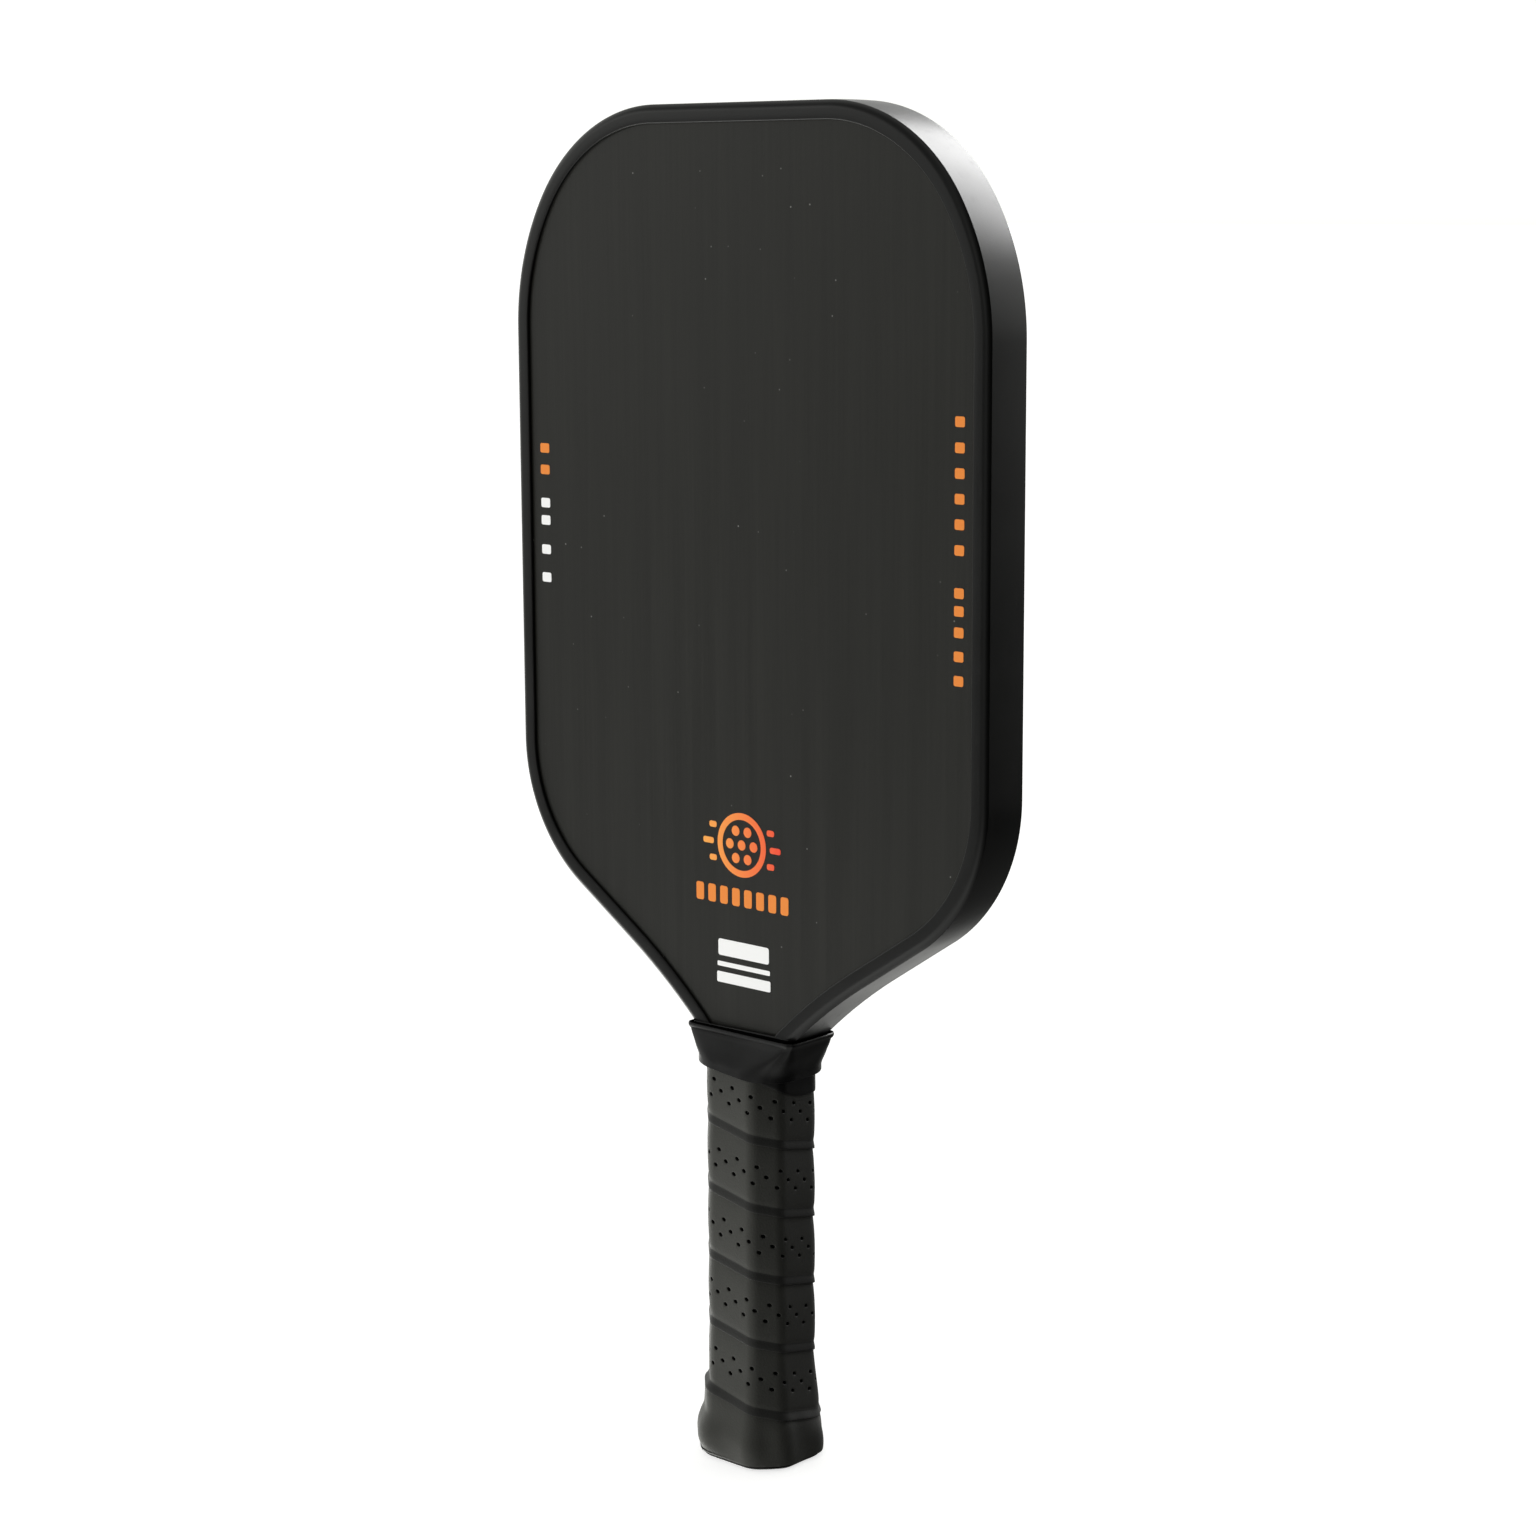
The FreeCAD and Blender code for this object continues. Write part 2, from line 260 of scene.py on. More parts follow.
def grip_material(name, tone):
    """Matte polyurethane cushion: leathery micro grain and a faint handling sheen."""
    material, tree, shader, place = new_material(name)
    grain = noise_at(tree, place, 2300.0, 3.0, 0.65)
    pores = tree.nodes.new("ShaderNodeTexVoronoi")
    pores.inputs["Scale"].default_value = 1700.0
    tree.links.new(place, pores.inputs["Vector"])
    clouds = noise_at(tree, place, 60.0, 4.0, 0.6)
    base = ramp(tree, clouds, [(0.3, tuple(0.90 * c for c in tone)), (0.7, tuple(1.10 * c for c in tone))])
    base = mixed(tree, 0.4, base, ramp(tree, grain, [(0.3, 0.40), (0.7, 0.60)]), "OVERLAY")
    tree.links.new(base, shader.inputs["Base Color"])
    tree.links.new(ramp(tree, clouds, [(0.3, 0.54), (0.7, 0.62)]), shader.inputs["Roughness"])
    shader.inputs["Specular IOR Level"].default_value = 0.32
    shader.inputs["Sheen Weight"].default_value = 0.06
    shader.inputs["Sheen Roughness"].default_value = 0.5
    bump(tree, shader, [(pores.outputs["Distance"], 0.00003), (grain, 0.00003)])
    return material


def ink_material(name, low_colour, high_colour, reach=1.0):
    """Screen-printed ink with a colour change from left to right and a slightly broken film."""
    material, tree, shader, place = new_material(name)
    split = tree.nodes.new("ShaderNodeSeparateXYZ")
    tree.links.new(place, split.inputs["Vector"])
    across = math_node(tree, "DIVIDE", split.outputs["X"], 2 * reach)
    across = math_node(tree, "ADD", across, 0.5)
    colour = ramp(tree, across, [(0.0, low_colour), (1.0, high_colour)])
    film = noise_at(tree, place, 1500.0, 3.0, 0.6)
    colour = mixed(tree, 0.25, colour, ramp(tree, film, [(0.3, 0.42), (0.7, 0.58)]), "OVERLAY")
    tree.links.new(colour, shader.inputs["Base Color"])
    tree.links.new(ramp(tree, film, [(0.3, 0.42), (0.7, 0.55)]), shader.inputs["Roughness"])
    bump(tree, shader, [(film, 0.00002)])
    return material


CARBON = carbon_material()
GUARD_PLASTIC = satin_plastic("guard_plastic", (0.0030, 0.0031, 0.0030), 0.34, 2600.0, 0.000012)
COLLAR_RUBBER = satin_plastic("collar_rubber", (0.0050, 0.0050, 0.0052), 0.46, 1800.0, 0.00002, 0.5)
# Near-black, almost unshiny rubber for the collar's groove: painted shade between the rim and the inner
# ridge.
GROOVE = satin_plastic("painted_groove_shade", (0.0014, 0.0014, 0.0014), 0.80, 1800.0, 0.00002, 0.15, 0.03)
VINYL = satin_plastic("finishing_vinyl", (0.0080, 0.0080, 0.0080), 0.42, 900.0, 0.00002)
CAP_PLASTIC = satin_plastic("cap_plastic", (0.0060, 0.0060, 0.0060), 0.40, 2200.0, 0.00002)
BADGE = satin_plastic("badge_plastic", (0.0500, 0.0500, 0.0540), 0.22, 3000.0, 0.000006)
GRIP = grip_material("grip_polyurethane", (0.0420, 0.0424, 0.0376))
# Near-black grip for the walls and floors of the punched holes: painted shade inside the holes.
HOLE_BACKING = grip_material("painted_hole_shade", (0.0040, 0.0045, 0.0036))
# Half-tone grip for the lower edge strip of each turn: painted shade where the turn laps over the one
# below.
GRIP_BORDER = grip_material("grip_border_painted_shade", (0.0210, 0.0212, 0.0198))
ORANGE_INK = ink_material("orange_ink", (0.86, 0.250, 0.034), (0.90, 0.275, 0.042))
SUNSET_INK = ink_material("sunset_ink", (1.0, 0.42, 0.075), (0.95, 0.070, 0.030), 0.016)
WHITE_INK = ink_material("white_ink", (0.96, 0.96, 0.95), (0.98, 0.98, 0.97))

INSIDE_MATERIALS = {
    "honeycomb_core": satin_plastic("honeycomb_polypropylene", (0.72, 0.72, 0.69), 0.45, 700.0, 0.00003),
    "edge_foam": satin_plastic("rim_foam", (0.78, 0.71, 0.55), 0.80, 500.0, 0.0002),
    "front_bond_film": satin_plastic("front_film", (0.42, 0.36, 0.22), 0.35, 900.0, 0.00001),
    "rear_bond_film": satin_plastic("rear_film", (0.42, 0.36, 0.22), 0.35, 900.0, 0.00001),
    "edge_guard_tape": satin_plastic("bond_tape", (0.60, 0.60, 0.58), 0.70, 800.0, 0.00005),
    "front_handle_half": satin_plastic("front_polyurethane", (0.22, 0.22, 0.22), 0.75, 600.0, 0.0001),
    "rear_handle_half": satin_plastic("rear_polyurethane", (0.22, 0.22, 0.22), 0.75, 600.0, 0.0001),
    "butt_cap_staples": satin_plastic("staple_wire", (0.55, 0.55, 0.56), 0.30, 1500.0, 0.00001),
}
INSIDE_MATERIALS["front_face_sheet"] = CARBON
INSIDE_MATERIALS["rear_face_sheet"] = CARBON
for node, material in INSIDE_MATERIALS.items():
    mesh_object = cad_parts[node]
    mesh_object.data.materials.clear()
    mesh_object.data.materials.append(material)

# ------------------------------------------------------------------- head outline

HEAD_TOP = cad_high.z / MM
HALF_WIDTH = cad_high.x / MM
CORNER_TOP_RADIUS = 58.0
CORNER_SIDE_RADIUS = 76.0
CORNER_BLEND = 58.0
SHOULDER_Z = 220.6
SHOULDER_RADIUS = 55.0
SHOULDER_TURN = 56.6
SHOULDER_RUN = 27.0
THROAT_RADIUS = 200.0
THROAT_TURN = 10.2
NECK_RADIUS = 25.6
RUN_STEP = 4.0
TURN_STEP = 1.6


def walk_outline():
    """Points and outward normals of the right half of the head, from the top down."""
    blend = math.radians(CORNER_BLEND)
    reach = CORNER_TOP_RADIUS * math.sin(blend) + CORNER_SIDE_RADIUS * (1 - math.sin(blend))
    drop = CORNER_TOP_RADIUS * (1 - math.cos(blend)) + CORNER_SIDE_RADIUS * math.cos(blend)
    moves = [
        (HALF_WIDTH - reach, 0.0), (CORNER_TOP_RADIUS, -CORNER_BLEND),
        (CORNER_SIDE_RADIUS, CORNER_BLEND - 90), (HEAD_TOP - drop - SHOULDER_Z, 0.0),
        (SHOULDER_RADIUS, -SHOULDER_TURN), (SHOULDER_RUN, 0.0),
        (THROAT_RADIUS, THROAT_TURN), (NECK_RADIUS, SHOULDER_TURN - THROAT_TURN),
    ]
    x, z, heading = 0.0, HEAD_TOP, 0.0
    samples = [(x, z, 0.0, 1.0)]
    for size, turn in moves:
        length = size if turn == 0 else size * math.radians(abs(turn))
        steps = math.ceil(length / RUN_STEP) if turn == 0 else math.ceil(abs(turn) / TURN_STEP)
        for _ in range(steps):
            middle = math.radians(heading + turn / steps / 2)
            chord = length / steps
            if turn:
                half_angle = math.radians(abs(turn)) / steps / 2
                chord = 2 * size * math.sin(half_angle)
            x += chord * math.cos(middle)
            z += chord * math.sin(middle)
            heading += turn / steps
            side = math.radians(heading + 90)
            samples.append((x, z, math.cos(side), math.sin(side)))
    return samples


def whole_outline(bottom_z):
    """Samples of the whole head from the left neck over the top to the right neck."""
    right = [s for s in walk_outline() if s[1] >= bottom_z]
    left = [(-x, z, -nx, nz) for x, z, nx, nz in right[1:]]
    return left[::-1] + right


# --------------------------------------------------------------------- edge guard

GUARD_LOW, GUARD_HIGH = node_box("edge_guard")
GUARD_HALF = GUARD_HIGH.y
FACE_Y = node_box("rear_face_sheet")[1].y
GUARD_WALL = 1.5
LIP_WIDTH = 5.75
CREASE_Y = 7.75
WALL_CROWN = 0.12
FILLET_TURN = 60.0
LIP_EDGE_ROUND = 0.42
WALL_STEPS = 8
FILLET_STEPS = 10
LIP_EDGE_STEPS = 6


def guard_half_profile():
    """(distance in, distance from the middle) from the wall's middle to the lip's foot."""
    profile = []
    for step in range(WALL_STEPS + 1):
        y = CREASE_Y * step / WALL_STEPS
        profile.append((WALL_CROWN * (y / CREASE_Y) ** 2, y))
    turn = math.radians(FILLET_TURN)
    radius = (GUARD_HALF - CREASE_Y) / (1 - math.cos(turn))
    centre_in = WALL_CROWN + radius * math.sin(turn)
    for step in range(1, FILLET_STEPS + 1):
        angle = turn * (1 - step / FILLET_STEPS)
        profile.append((centre_in - radius * math.sin(angle),
                        GUARD_HALF - radius + radius * math.cos(angle)))
    edge_in = LIP_WIDTH - LIP_EDGE_ROUND
    profile.append(((centre_in + edge_in) / 2, GUARD_HALF))
    for step in range(LIP_EDGE_STEPS + 1):
        angle = math.radians(90 * step / LIP_EDGE_STEPS)
        profile.append((edge_in + LIP_EDGE_ROUND * math.sin(angle),
                        GUARD_HALF - LIP_EDGE_ROUND + LIP_EDGE_ROUND * math.cos(angle)))
    profile.append((LIP_WIDTH, FACE_Y))
    profile.append((GUARD_WALL, FACE_Y))
    return profile


def edge_guard():
    """Channel swept round the head, with crowned walls, a mould crease and thin lips."""
    rear = guard_half_profile()
    front = [(inset, -y) for inset, y in rear[1:]]
    profile = front[::-1] + rear
    points = []
    samples = whole_outline(GUARD_LOW.z)
    for x, z, nx, nz in samples:
        for inset, y in profile:
            points.append((x - nx * inset, y, z - nz * inset))
    rows = len(profile)
    faces = []
    for i in range(len(samples) - 1):
        for k in range(rows):
            j = (k + 1) % rows
            faces.append((i * rows + k, i * rows + j, (i + 1) * rows + j, (i + 1) * rows + k))
    faces.append(tuple(range(rows))[::-1])
    faces.append(tuple(range(len(points) - rows, len(points))))
    return make_piece("edge_guard_channel", points, faces, GUARD_PLASTIC,
                      "edge_guard", sharp=20)


# ----------------------------------------------------------------- handle section

GRIP_LOW, GRIP_HIGH = node_box("grip_tape")
ROUND_STEPS = 160
GRIP_HALF_X = 15.3
GRIP_HALF_Y = 14.4
GRIP_LEG_X = 6.7
GRIP_LEG_Y = 6.8
CORNER_REACH = 2.1
LEG_GROWTH = 0.6
CORNER_GROWTH = 0.35


def octagon(half_x, half_y, leg_x, leg_y):
    """Corners, starting at the left end of the front-left side and going round by the front."""
    flat, side = half_x - leg_x, half_y - leg_y
    return [
        (-half_x, -side), (-flat, -half_y), (flat, -half_y), (half_x, -side),
        (half_x, side), (flat, half_y), (-flat, half_y), (-half_x, side),
    ]


GRIP_CORNERS = octagon(GRIP_HALF_X, GRIP_HALF_Y, GRIP_LEG_X, GRIP_LEG_Y)
SIDE_LENGTHS = [math.dist(GRIP_CORNERS[i], GRIP_CORNERS[(i + 1) % 8]) for i in range(8)]
GIRTH = sum(SIDE_LENGTHS)


def around(corners, distance, reach=CORNER_REACH):
    """Point and outward normal at a distance round the grip's girth, on any octagon.

    Corners are rounded by a curve that starts and ends at reach from each of them.
    """
    distance %= GIRTH
    side = 0
    while distance > SIDE_LENGTHS[side]:
        distance -= SIDE_LENGTHS[side]
        side = (side + 1) % 8
    length = SIDE_LENGTHS[side]
    start, end = Vector(corners[side]), Vector(corners[(side + 1) % 8])
    if reach <= distance <= length - reach:
        tangent = end - start
        point = start + tangent * (distance / length)
        return point, Vector((tangent.y, -tangent.x)).normalized()
    if distance < reach:
        corner, before, after = side, (side - 1) % 8, side
        t = 0.5 + distance / (2 * reach)
    else:
        corner, before, after = (side + 1) % 8, side, (side + 1) % 8
        t = 0.5 - (length - distance) / (2 * reach)
    middle = Vector(corners[corner])
    last = Vector(corners[before])
    following = Vector(corners[(after + 1) % 8])
    a = middle + (last - middle) * (reach / SIDE_LENGTHS[before])
    b = middle + (following - middle) * (reach / SIDE_LENGTHS[after])
    point = a * (1 - t) ** 2 + middle * (2 * t * (1 - t)) + b * t ** 2
    tangent = (middle - a) * (1 - t) + (b - middle) * t
    return point, Vector((tangent.y, -tangent.x)).normalized()


# How far the handle stands out past the bare octagon, as (height, swell) pairs.
FLARE = [
    (0.0, 2.2), (1.2, 2.6), (3.0, 2.8), (5.5, 2.85), (8.5, 2.65), (11.5, 2.2), (14.0, 1.8),
    (16.5, 1.45), (20.0, 1.0), (24.0, 0.5), (27.0, 0.2), (30.0, 0.0), (34.0, 0.0),
]
# Extra stand-off on the left, where the layers under the tape start, as (height, slack) pairs.
LEFT_SLACK = [
    (0.0, 0.8), (3.0, 0.4), (6.0, 1.2), (9.5, 1.7), (12.5, 1.4), (15.5, 0.6), (18.5, 0.8),
    (21.5, 1.4), (23.2, 1.35), (24.8, 0.35), (27.0, 0.25), (31.0, 0.25),
]
SLACK_FALL = 2.6
SLACK_FALL_REACH = 25.0
SLACK_SHIFT = 6.0
LEFT_FULL = 5.0
LEFT_END = 28.0
WRINKLE_DEPTH = 0.7
WRINKLES_ROUND = 2.2
WRINKLES_UP = 0.11
WRINKLE_FULL_Z = 13.0
WRINKLE_END_Z = 21.0


def left_share(distance):
    """1 on the left side of the handle, fading to 0 across the front and the rear."""
    reach = min(distance % GIRTH, -distance % GIRTH)
    return 1 - smooth_step(LEFT_FULL, LEFT_END, reach)


def grip_point(distance, z, height):
    """Point on the grip's skin, raised by a height over the bare octagon."""
    swell = along_table(FLARE, z)
    corners = octagon(GRIP_HALF_X + swell, GRIP_HALF_Y + swell,
                      GRIP_LEG_X + swell * LEG_GROWTH, GRIP_LEG_Y + swell * LEG_GROWTH)
    point, normal = around(corners, distance, CORNER_REACH + swell * CORNER_GROWTH)
    fall = SLACK_FALL * smooth_step(0.0, SLACK_FALL_REACH, distance % GIRTH)
    slack = left_share(distance + SLACK_SHIFT) * along_table(LEFT_SLACK, z + fall)
    angle = 2 * math.pi * distance / GIRTH
    place = Vector((WRINKLES_ROUND * math.cos(angle), WRINKLES_ROUND * math.sin(angle), WRINKLES_UP * z))
    fade = 1 - smooth_step(WRINKLE_FULL_Z, WRINKLE_END_Z, z)
    wrinkle = WRINKLE_DEPTH * noise.noise(place) * fade
    point = point + normal * (height + slack + wrinkle)
    return (point.x, point.y, z)


# ---------------------------------------------------------------------- grip tape

PITCH = 21.9
SEAM_Z_AT_START = 111.3
SEAM_SLOPE = PITCH / GIRTH
HOLE_STEP = 7.487
HOLE_START = 4.43
COLUMNS_PER_HOLE = 12
# Each row of holes: its height on the tape, its column in a tile, and how far that is along.
HOLE_ROWS = [(9.45, 10, 6.2), (12.15, 5, 2.9), (14.85, 0, 0.0)]
# Rings of a hole from its soft rim to its floor, as (radius, depth) pairs.
HOLE_RINGS = [(0.80, 0.0), (0.68, 0.03), (0.61, 0.14), (0.55, 1.1)]
HOLE_STRETCH = 1.2
HOLE_STEPS = 16
HOLE_FIRST_ANGLE = 225
HOLE_FLOOR_DROP = 0.5
PATCH_CELLS = 4
CLEAR_OF_TOP = 2.0
TURN_START = -85.0
TURN_END = 640.0
GRIP_BOTTOM = GRIP_LOW.z
GRIP_TOP = GRIP_HIGH.z
HOLES_END = 500.0
BORDER_WIDTH = 2.85
# Section across the tape, as (distance up from its lower edge, height) pairs.
TAPE_HEIGHT = [
    (0.0, 0.26), (0.6, 0.25), (1.6, 0.10), (2.5, -0.06), (3.1, -0.03), (4.0, 0.12), (6.5, 0.25),
    (11.0, 0.30), (16.0, 0.16), (19.5, -0.08), (22.0, -0.36), (24.0, -0.62),
]
LOWER_ROWS = [0.12, 0.4, 0.9, 1.6, 2.2, 2.5, 2.8, 3.1, 3.5, 4.0, 4.7, 5.5, 6.3, 7.2]
PATCH_ROWS = [8.5 + 0.675 * step for step in range(13)]
UPPER_ROWS = [17.0, 17.7, 18.4, 19.1, 19.8, 20.5, 21.2, 21.9, 22.6, 23.4]


def tape_height(u, v):
    """Height of the tape over the octagon, with slow unevenness from hand winding."""
    wobble = noise.noise(Vector((u * 0.05, v * 0.09, 3.0))) * 0.10
    return along_table(TAPE_HEIGHT, v) + wobble * smooth_step(0.0, 4.0, v)


def seam_wander(u):
    """How far the seam strays from a true spiral."""
    return 0.25 * noise.noise(Vector((u * 0.021, 7.7, 1.3)))


def tape_z(u, v):
    """Height of a place on a tape that is wound as a true spiral."""
    return SEAM_Z_AT_START - SEAM_SLOPE * u + v


def tape_point(u, v, drop=0.0):
    """Point of the wound tape at a distance u along it and v up from its lower edge."""
    z = tape_z(u, v) + seam_wander(u) * (1 - v / PITCH)
    z = min(max(z, GRIP_BOTTOM), GRIP_TOP)
    return grip_point(u, z, tape_height(u, v) - drop)


def hole_patches(first):
    """Grid places of each hole: its lowest column and row, and its centre along and up."""
    patches = []
    tiles = range(math.floor(TURN_START / HOLE_STEP), math.ceil(HOLES_END / HOLE_STEP))
    for tile in tiles:
        for v, column, offset in HOLE_ROWS:
            u = HOLE_START + tile * HOLE_STEP + offset
            low_column = tile * COLUMNS_PER_HOLE + column - PATCH_CELLS // 2
            z = tape_z(u, v)
            if u < HOLES_END and z < GRIP_TOP - CLEAR_OF_TOP and first <= low_column:
                middle_row = min(range(len(PATCH_ROWS)), key=lambda k: abs(PATCH_ROWS[k] - v))
                low_row = middle_row - PATCH_CELLS // 2
                patches.append((low_column, low_row, u, v))
    return patches


def grip_tape():
    """Perforated tape wound in a spiral, each turn lapping over the one below it."""
    column_width = HOLE_STEP / COLUMNS_PER_HOLE
    first = math.floor(TURN_START / column_width)
    last = math.ceil(TURN_END / column_width)
    edge_rows = [(0.0, 1.0), (0.0, 0.10), (0.04, 0.03)]
    plain_rows = [(v, 0.0) for v in LOWER_ROWS + PATCH_ROWS + UPPER_ROWS]
    rows = edge_rows + plain_rows
    patch_base = len(edge_rows) + len(LOWER_ROWS)
    points = []
    for column in range(first, last + 1):
        u = HOLE_START + column * column_width
        points.extend(tape_point(u, v, drop) for v, drop in rows)

    def index(column, row):
        return (column - first) * len(rows) + row

    holes = hole_patches(first)
    covered = set()
    for low_column, low_row, _, _ in holes:
        for i in range(PATCH_CELLS):
            for k in range(PATCH_CELLS):
                covered.add((low_column + i, patch_base + low_row + k))
    border, wells, faces = [], [], []
    for column in range(first, last):
        for row in range(len(rows) - 1):
            u = HOLE_START + column * column_width
            low_v, high_v = rows[row][0], rows[row + 1][0]
            hidden = tape_z(u, high_v) < GRIP_BOTTOM or tape_z(u, low_v) > GRIP_TOP
            if hidden or (column, row) in covered:
                continue
            # Faces of each turn's lower edge strip go to the border, which is painted half-tone as shade.
            strip = border if high_v <= BORDER_WIDTH else faces
            strip.append((index(column, row), index(column + 1, row),
                          index(column + 1, row + 1), index(column, row + 1)))
    for low_column, low_row, u, v in holes:
        add_hole(points, faces, wells, index, low_column, patch_base + low_row, u, v)
    add_end_roll(points, faces)
    piece = make_piece("wound_grip_tape", points, border + wells + faces, GRIP,
                       "grip_tape", sharp=50)
    piece.data.materials.append(GRIP_BORDER)
    piece.data.materials.append(HOLE_BACKING)
    # The lower edge strips take the half-tone grip, as painted shade along each lap.
    for polygon in piece.data.polygons[:len(border)]:
        polygon.material_index = 1
    # Hole walls and floors take the near-black grip, as painted shade inside the holes.
    for polygon in piece.data.polygons[len(border):len(border) + len(wells)]:
        polygon.material_index = 2
    return piece


def add_hole(points, faces, wells, index, low_column, low_row, u, v):
    """Punched hole in a square patch: a flat collar, a soft rim, a wall and a floor."""
    cells = range(PATCH_CELLS)
    high_column = low_column + PATCH_CELLS
    high_row = low_row + PATCH_CELLS
    border = [index(low_column + i, low_row) for i in cells]
    border += [index(high_column, low_row + k) for k in cells]
    border += [index(high_column - i, high_row) for i in cells]
    border += [index(low_column, high_row - k) for k in cells]
    previous = border
    for radius, drop in HOLE_RINGS:
        ring = []
        for step in range(HOLE_STEPS):
            angle = math.radians(HOLE_FIRST_ANGLE + 360 * step / HOLE_STEPS)
            ring.append(len(points))
            points.append(tape_point(u + HOLE_STRETCH * radius * math.cos(angle),
                                     v + radius * math.sin(angle), drop))
        # Rings deeper than HOLE_FLOOR_DROP join the wells, which are painted near-black as shade.
        strip = wells if drop > HOLE_FLOOR_DROP else faces
        for step in range(HOLE_STEPS):
            after = (step + 1) % HOLE_STEPS
            strip.append((previous[step], previous[after], ring[after], ring[step]))
        previous = ring
    wells.append(tuple(previous))


def add_end_roll(points, faces):
    """Rounded end of the tape round the butt, from its skin in to the butt cap."""
    steps = ROUND_STEPS
    profile = [(0.25, 0.6), (0.20, 0.25), (0.0, 0.0), (-0.4, -0.15), (-1.6, -0.2)]
    base = len(points)
    for i in range(steps):
        distance = GIRTH * i / steps
        for height, rise in profile:
            points.append(grip_point(distance, GRIP_BOTTOM + rise, height))
    rows = len(profile)
    for i in range(steps):
        j = (i + 1) % steps
        for k in range(rows - 1):
            faces.append((base + i * rows + k + 1, base + j * rows + k + 1,
                          base + j * rows + k, base + i * rows + k))


# ----------------------------------------------------------------- finishing tape

FINISH_LOW, FINISH_HIGH = node_box("finishing_tape")
FINISH_STEPS = 220
FINISH_ROWS = 8
FINISH_HEIGHT = 0.55
FINISH_EDGE = 0.35
FINISH_EDGE_PROFILE = [(0.0, -0.2), (0.0, 0.38), (0.10, 0.50), (FINISH_EDGE, FINISH_HEIGHT)]
FINISH_RIPPLE = 0.05
FALL_START = 20.0
FALL_END = 47.0
RISE_LENGTH = 14.0
FINISH_TOP_GAP = 1.5
FINISH_BOTTOM_GAP = 0.4


def finish_low_z(distance):
    """Lower edge of the finishing tape, which winds down across the front-right side."""
    fall = smooth_step(FALL_START, FALL_END, distance)
    rise = smooth_step(GIRTH - RISE_LENGTH, GIRTH, distance)
    top = COLLAR_LOW.z + FINISH_TOP_GAP
    bottom = FINISH_LOW.z - FINISH_BOTTOM_GAP
    return top + (bottom - top) * (fall - rise)


def finishing_tape():
    """Smooth vinyl band stretched over the grip's top end, with a thin rounded edge."""
    points = []
    for i in range(FINISH_STEPS):
        distance = GIRTH * i / FINISH_STEPS
        low = finish_low_z(distance)
        for rise, height in FINISH_EDGE_PROFILE:
            points.append(grip_point(distance, low + rise, height))
        for step in range(1, FINISH_ROWS + 1):
            z = low + FINISH_EDGE + (FINISH_HIGH.z - low - FINISH_EDGE) * step / FINISH_ROWS
            ripple = FINISH_RIPPLE * noise.noise(Vector((distance * 0.25, z * 0.3, 9.0)))
            points.append(grip_point(distance, z, FINISH_HEIGHT + ripple))
    faces = quad_faces(FINISH_STEPS, len(FINISH_EDGE_PROFILE) + FINISH_ROWS, True)
    return make_piece("finishing_band", points, faces, VINYL, "finishing_tape")


# ------------------------------------------------------------------------- collar

COLLAR_LOW, COLLAR_HIGH = node_box("grip_collar")
COLLAR_STEPS = 256
COLLAR_BOTTOM_GROWTH = 2.0
COLLAR_TOP_HALF_X = 21.5
COLLAR_TOP_HALF_Y = 10.7
COLLAR_TOP_LEG = 1.6
COLLAR_SPREAD = [(0.0, 0.0), (0.18, 0.06), (0.5, 0.47), (0.8, 0.86), (1.0, 1.0)]
COLLAR_FOOT_REACH = 4.2
COLLAR_RIM_REACH = 1.7
COLLAR_SAG = 0.6
COLLAR_LEFT_LIFT = 2.1
FOOT_STAND_OFF = 0.9
LEFT_STAND_OFF = 0.6
COLLAR_ROWS = 14
COLLAR_BODY_START = 0.03
COLLAR_BODY_SPAN = 0.82
COLLAR_FOLD = 0.30
RIDGE_HEIGHT = 1.2
RIDGE_LEFT_LOSS = 0.8
RIDGE_SINK = 0.4
GROOVE_RIM_ROWS = 6
GROOVE_ROWS = 8
# Foot of the collar as (climb, outward, rise), then its rim and inner ridge as (outward, rise).
# The ridge's positive rises are shares of its height.
COLLAR_FOOT = [(0.0, -1.3, 0.15), (0.0, -0.9, 0.0), (0.0, -0.3, -0.05), (0.0, 0.0, 0.12)]
COLLAR_RIM = [
    (0.25, -1.35), (0.48, -0.95), (0.60, -0.50), (0.50, -0.12), (0.22, 0.06),
    (-0.10, 0.0), (-0.40, -0.25), (-0.55, -0.9), (-0.62, -2.2), (-0.85, -2.3),
]
COLLAR_RIDGE = [
    (-0.90, -2.2), (-1.25, -0.5), (-1.36, 0.60), (-1.44, 1.0), (-1.56, 1.0), (-1.66, 0.60), (-1.68, -1.8),
]


def collar_low_z(distance):
    """Lower edge of the collar, high on the left and sagging at the front-right corner."""
    sag = smooth_step(22.0, 32.0, distance) - smooth_step(46.0, 60.0, distance)
    return COLLAR_LOW.z - COLLAR_SAG * sag + COLLAR_LEFT_LIFT * left_share(distance)


